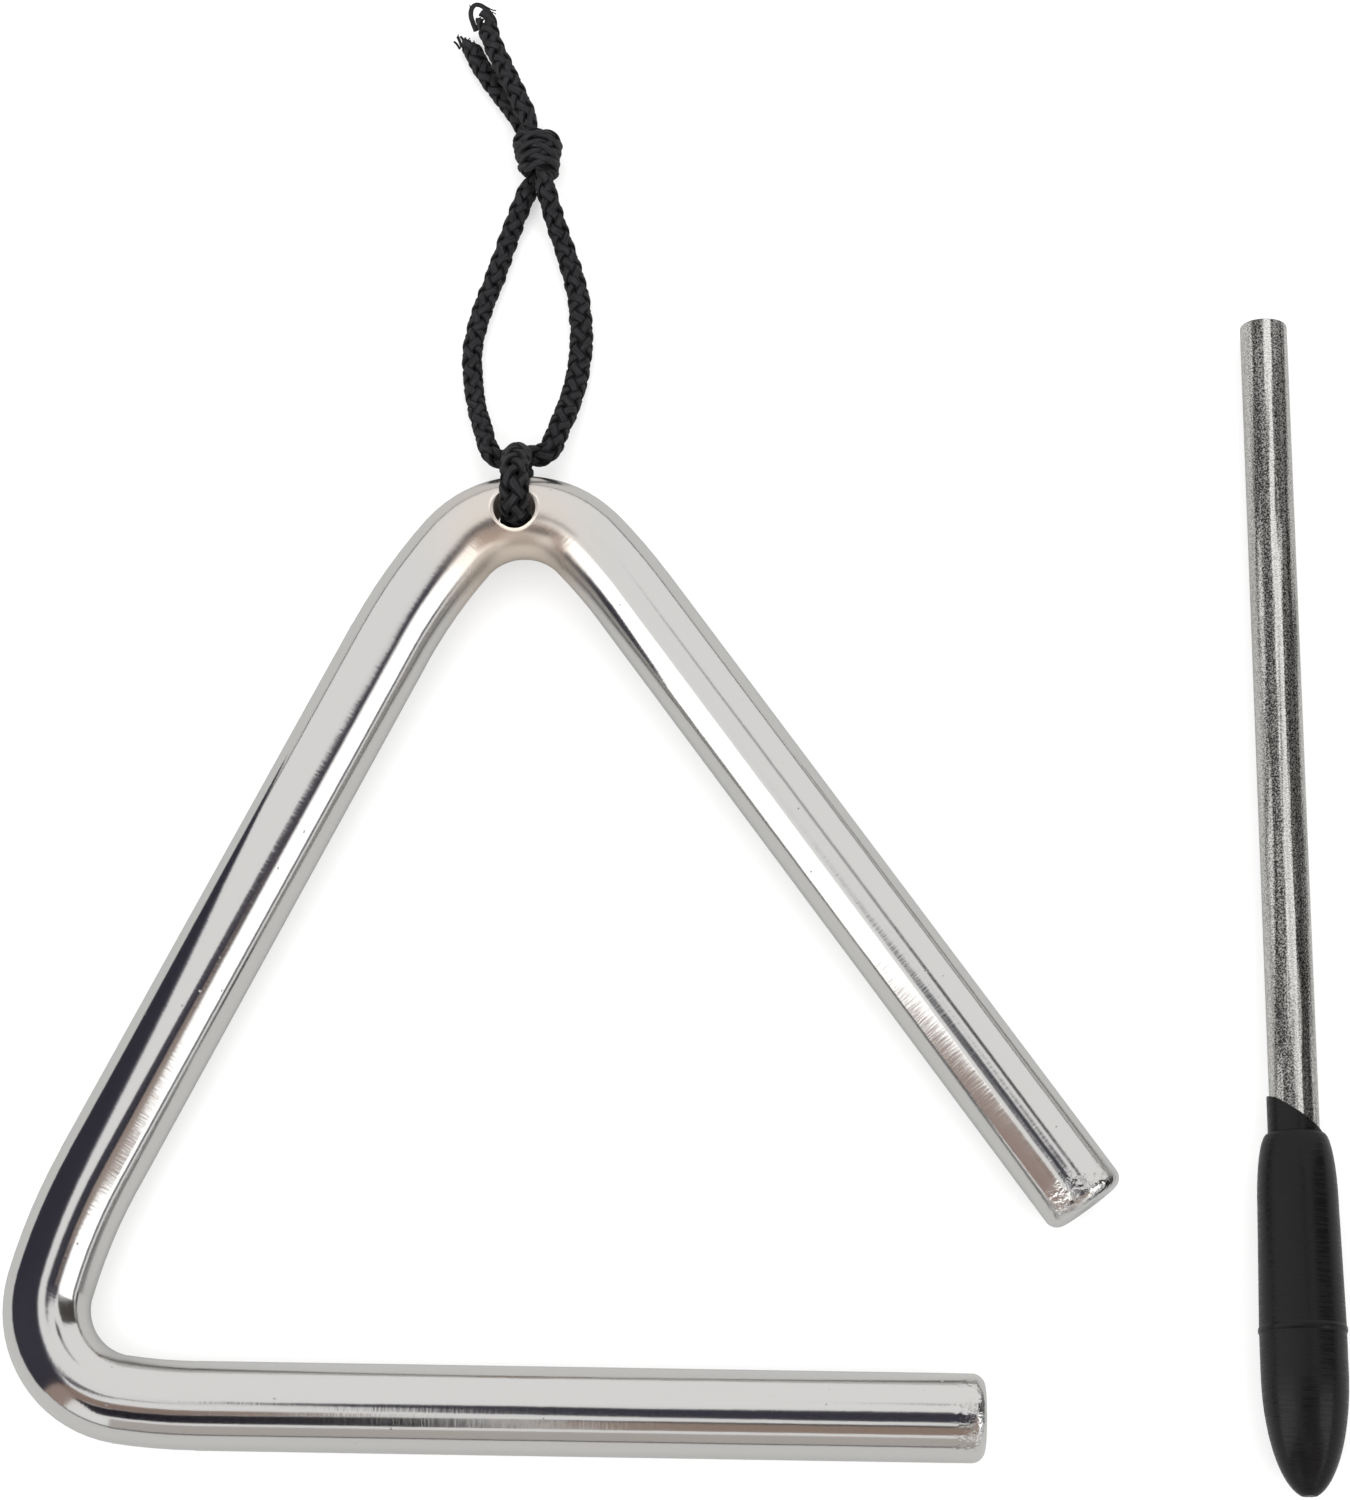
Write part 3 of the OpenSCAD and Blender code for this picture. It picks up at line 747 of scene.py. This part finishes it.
def make_reflected_cards():
    """What the plating shows of the room: dark and brown shapes overhead, two softboxes and the tent's rim."""
    # Heights of the level cards: about the camera's, and that of what hangs far above it
    camera_height, ceiling = 392, 1600

    def level_card(name, corners, colour, level=camera_height):
        """A level card of corners in order."""
        card(name, [(x, y, level) for x, y in corners], [tuple(range(len(corners)))], colour)

    beam = [
        (85, -20), (21, -18), (-5, -30), (-27, -8), (-79, -28), (-75, -62), (-50, -82), (-48, -142), (-15, -172),
        (21, -184), (85, -184),
    ]
    level_card("beam", beam, "#3c3a46")
    branch = [
        (-70, -60), (-33, 22), (-9, 71), (50, 119), (110, 165), (437, 100), (600, 80), (720, 130), (1000, -10),
        (940, -75), (890, -115), (870, -195), (850, -270), (800, -330), (800, -400), (850, -560), (250, -300),
    ]
    level_card("branch", branch, "#44404c", ceiling)
    arm = [(-240, -130), (-322, -100), (-420, -110), (-655, -262), (-640, -330), (-575, -385), (-440, -290)]
    level_card("arm", arm, "#3c3844", ceiling)
    strap = [(165, 88), (114, 50), (102, 73), (84, 94), (134, 134), (152, 112)]
    level_card("strap", strap, "#4a464e", camera_height - 2)
    level_card("strap_tail", [(84, 94), (38, 152), (58, 180), (134, 134)], "#b8b6b6", camera_height - 2)
    level_card("dark_front", [(-40, -250), (-42, -560), (-330, -600), (-330, -330), (-100, -290)], "#26242c")
    brown = [(-62, -185), (-62, -250), (-100, -288), (-250, -305), (-600, -560), (-660, -420), (-250, -170)]
    level_card("brown_left", brown, "#9a867c", camera_height + 1)
    level_card("edge_right", [(-26, -252), (120, -248), (120, -292), (-26, -292)], "#3c3838")
    level_card("brown_right", [(-26, -293), (120, -293), (150, -560), (-26, -560)], "#a08c80")
    front = [(-330, -901, 0), (330, -901, 0), (330, -901, 495), (-330, -901, 495)]
    card("front_wall", front, [(0, 1, 2, 3)], "#c4beba")

    def upright(name, turn, away, corners, colour, strength=1.0):
        """An upright card that faces a point near the table's middle from the given turn in degrees."""
        out = Vector((math.cos(math.radians(turn)), math.sin(math.radians(turn)), 0))
        aside = Vector((-out.y, out.x, 0))
        foot = out * away + Vector((0, -20, 0))
        points = [foot + aside * side + Vector((0, 0, height)) for side, height in corners]
        card(name, points, [tuple(range(len(points)))], colour, strength)

    # Each softbox has cards beside it, or just before it, that bound its strip of white
    right, left, away = -30, 217, 400
    upright("softbox_right", right, away, [(-160, 142), (236, 142), (236, 680), (-160, 680)], "#ffffff", 2.0)
    upright("curtain", right, away, [(238, 60), (620, 60), (620, 760), (238, 760)], "#4e4a48")
    upright("below_softbox", right, away - 1, [(-160, 84), (280, 84), (280, 138), (-160, 138)], "#6a686e")
    sleeve = [(-300, 190), (32, 220), (42, 400), (60, 560), (110, 830), (160, 1300), (-300, 1300)]
    upright("sleeve_right", right, away - 3, sleeve, "#b0a098")
    upright("softbox_left", left, away, [(-320, 5), (-45, 5), (-45, 640), (-320, 640)], "#ffffff", 2.0)
    upright("sleeve_left", left, away - 3, [(-45, 20), (60, 20), (60, 600), (-45, 600)], "#a8948c")
    # A low dark thing close beside the closed leg, soft at its top edge, that the other legs don't see. Its
    # posts go along the leg from the base bend, each with how far it stands off the leg and how tall it is
    posts = [(-45, 11, 78), (-14, 15, 76), (8, 27, 74), (21, 38, 62), (40, 38, 22), (54, 38, 4)]
    ahead = Vector((math.cos(CLOSED_TURN), math.sin(CLOSED_TURN), 0))
    aside = Vector((-ahead.y, ahead.x, 0))
    feet = [Vector((-55.7, -34.7, 0)) + ahead * along + aside * off for along, off, _ in posts]
    n = len(posts)
    for name, low, high, colour in (
        ("low_box", 0.07, 0.78, "#3a3843"),
        ("low_box_rim", 0.78, 0.9, "#5c5a64"),
        ("low_box_edge", 0.9, 1.0, "#8c8a92"),
    ):
        points = [
            Vector((foot.x, foot.y, share * tall)) for share in (low, high) for foot, (_, _, tall) in zip(feet, posts)
        ]
        card(name, points, [(i, i + 1, i + 1 + n, i + n) for i in range(n - 1)], colour, reach=82)
    # The dark rim where the paper meets the tent
    n, far, low, high = 48, 620, 14, 46
    ring = [(far * math.cos(2 * math.pi * i / n), far * math.sin(2 * math.pi * i / n)) for i in range(n)]
    points = [(x, y, z) for z in (low, high) for x, y in ring]
    card("tent_rim", points, [(i, (i + 1) % n, n + (i + 1) % n, n + i) for i in range(n)], "#545256")


class TRIANGLE_OT_cord(bpy.types.Operator):
    """Braid the cord: its turn through the hole, both legs of the loop, the knot and the two cut tails"""

    bl_idname = "triangle.cord"
    bl_label = "Cord"

    def execute(self, context):
        material = braided_nylon()
        knot = make_knot(material)
        hitch = make_hitch(material)
        make_free_cord(
            "cord_left", LEG_LEFT_ROUTE, TAIL_SHORT_ROUTE, material, ("cord_leg_left", "cord_tail_short"),
            cut=lambda side: 0.0 if side < 0.25 else 1.0 * MM, frayed=SHORT_TUFT,
            sag=-0.6, fullness=((0, 0.84), (8, 0.8), (20, 0.84), (50, 0.83)), seed=3,
        )
        make_free_cord(
            "cord_right", LEG_RIGHT_ROUTE, TAIL_LONG_ROUTE, material, ("cord_leg_right", "cord_tail_long"),
            cut=lambda side: (1.1 + 0.5 * side) * MM, frayed=LONG_FRAY,
            sag=0.15, fullness=((0, 0.9), (8, 0.97), (18, 0.95), (26, 0.84), (53, 0.83)), seed=7,
        )
        return {"FINISHED"}


def make_free_cord(name, leg, tail, material, nodes, cut, frayed, sag, fullness, seed):
    """One leg of the loop, on through the knot and out along its tail, as one braided length.

    sag moves its first 5 mm along y, in mm. fullness gives pairs of a length in mm from its start and the
    cord's share of its full thickness there.
    """
    # It starts a little way back from the leg, inside the hitch
    back = 1.6
    start = Vector(leg[0]) * (1 + back) - Vector(leg[1]) * back + Vector((0, -0.1, 0))
    inside = HOLE + MM * Vector((start.x * 0.5, start.y, start.z))
    line = rounded_line([inside] + on_table(leg) + on_table(tail), STEP)
    gone = length_along(line)
    line[:, 1] += sag * MM * np.clip(1 - gone / (5 * MM), 0, 1) ** 2
    across, up = carried_frames(line, (0, 0, 1))
    # The knot's turns squeeze the cord that passes through it to 0.62 of its thickness
    into = length_along(rounded_line([inside] + on_table(leg), STEP))[-1]
    out_of = into + (on_table(tail)[0] - on_table(leg)[-1]).length
    middle, half = (into + out_of) / 2, (out_of - into) / 2
    near = np.clip((np.abs(gone - middle) - half + 0.3 * MM) / (2.2 * MM), 0, 1)
    waist = 0.62 + 0.38 * near * near * (3 - 2 * near)
    waist = waist * np.interp(gone / MM, *zip(*fullness))
    strands = Strands()
    braid(strands, line, across, up, waist=waist, cut=cut, seed=seed)
    end = line[-1]
    for points, wide in frayed:
        yarn = rounded_line([end + MM * np.array(p) for p in points], 0.12 * MM)
        strands.add(yarn, np.tile((0.0, 0.0, 1.0), (len(yarn), 1)), wide * MM, 0.8 * wide * MM, lane=LOOSE_LANE)
    piece = strands.piece(name, material)
    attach(piece, "loop")
    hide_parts(*nodes)
    sparse = line[:: max(len(line) // 120, 1)]
    sparse = np.vstack([sparse, line[-1:]]) if np.linalg.norm(sparse[-1] - line[-1]) > 1e-6 else sparse


def make_hitch(material):
    """The closed turn of cord through the hole and round the bar, drawn a little wider by its own pull."""
    line = rounded_line(on_table(HITCH_ROUTE), STEP, closed=True)
    across, up = carried_frames(line, (1, 0, 0))
    strands = Strands()
    braid(strands, line, across, up, squeeze=(1.2, 1.0), seed=5)
    piece = strands.piece("cord_hitch_braid", material)
    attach(piece, "hitch")
    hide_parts("cord_hitch")
    return piece


def make_knot(material):
    """Nearly three flattened turns of the braid round the legs and tails, pulled tight."""
    middle = HOLE + MM * Vector(KNOT_MIDDLE)
    lean = Matrix.Rotation(KNOT_LEAN, 3, "Z")
    turns, first, count = 2.9, math.radians(250), 260
    points, outward = [], []
    for i in range(count):
        share = i / (count - 1)
        angle = first - turns * 2 * math.pi * share
        # Both ends of the wrap tuck in, and from the tails to the loop it narrows and grows taller
        tuck = max(0.0, 1 - min(share, 1 - share) / 0.06)
        reach = (1 - 0.7 * tuck * tuck) * MM
        wide, high = 1.8 - 0.55 * share, 1.6 + 0.12 * share
        flat = Vector((math.cos(angle), 0, math.sin(angle)))
        at = Vector((flat.x * wide * reach, (1.42 - 2.95 * share) * MM, flat.z * high * reach))
        points.append(middle + lean @ at)
        outward.append(lean @ flat)
    line = rounded_line(points, STEP)
    pick = np.linspace(0, count - 1, len(line))
    out = np.array([tuple(outward[int(round(i))]) for i in pick])
    ahead = unit(np.gradient(line, axis=0))
    out = unit(out - ahead * np.sum(out * ahead, axis=1, keepdims=True))
    strands = Strands()
    braid(strands, line, out, np.cross(ahead, out), pitch=1.75 * PITCH, yarn=0.74, squeeze=(0.58, 1.0), seed=11)
    piece = strands.piece("cord_knot_wraps", material)
    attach(piece, "loop")
    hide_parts("cord_knot")
    return piece


class TRIANGLE_OT_bar(bpy.types.Operator):
    """Finish the bent bar in chrome plating"""

    bl_idname = "triangle.bar"
    bl_label = "Bar"

    def execute(self, context):
        coat(frame["nodes"]["bar"], chrome_plated_steel())
        return {"FINISHED"}


class TRIANGLE_OT_striker(bpy.types.Operator):
    """Finish the striker's plated rod and its moulded grip"""

    bl_idname = "triangle.striker"
    bl_label = "Striker"

    def execute(self, context):
        coat(frame["nodes"]["striker_rod"], zinc_plated_steel())
        coat(frame["nodes"]["striker_grip"], moulded_vinyl())
        return {"FINISHED"}


def coat(node, material):
    """Gives a CAD node a new finish."""
    for slot in node.material_slots:
        slot.material = material


class TRIANGLE_PT_panel(bpy.types.Panel):
    """Lists the pieces and their settings"""

    bl_label = "Triangle"
    bl_idname = "TRIANGLE_PT_panel"
    bl_space_type = "VIEW_3D"
    bl_region_type = "UI"
    bl_category = "Triangle"

    def draw(self, context):
        scene = context.scene
        for group in (scene.triangle_bar, scene.triangle_cord, scene.triangle_striker, scene.triangle_stage):
            box = self.layout.box()
            for name in group.__annotations__:
                box.prop(group, name)
        for step in STEPS:
            self.layout.operator(f"triangle.{step}")


STEPS = ("stage", "cord", "bar", "striker")
GROUPS = {
    "triangle_bar": BarLooks,
    "triangle_cord": CordLooks,
    "triangle_striker": StrikerLooks,
    "triangle_stage": StageLooks,
}
CLASSES = (
    *GROUPS.values(),
    TRIANGLE_OT_stage,
    TRIANGLE_OT_cord,
    TRIANGLE_OT_bar,
    TRIANGLE_OT_striker,
    TRIANGLE_PT_panel,
)


def register():
    for cls in CLASSES:
        bpy.utils.register_class(cls)
    for name, group in GROUPS.items():
        setattr(bpy.types.Scene, name, bpy.props.PointerProperty(type=group))


def unregister():
    for name in GROUPS:
        delattr(bpy.types.Scene, name)
    for cls in reversed(CLASSES):
        bpy.utils.unregister_class(cls)


def main():
    register()
    for step in STEPS:
        if getattr(bpy.ops.triangle, step)() != {"FINISHED"}:
            raise RuntimeError(f"the step {step} didn't finish")


if __name__ == "__main__":
    main()
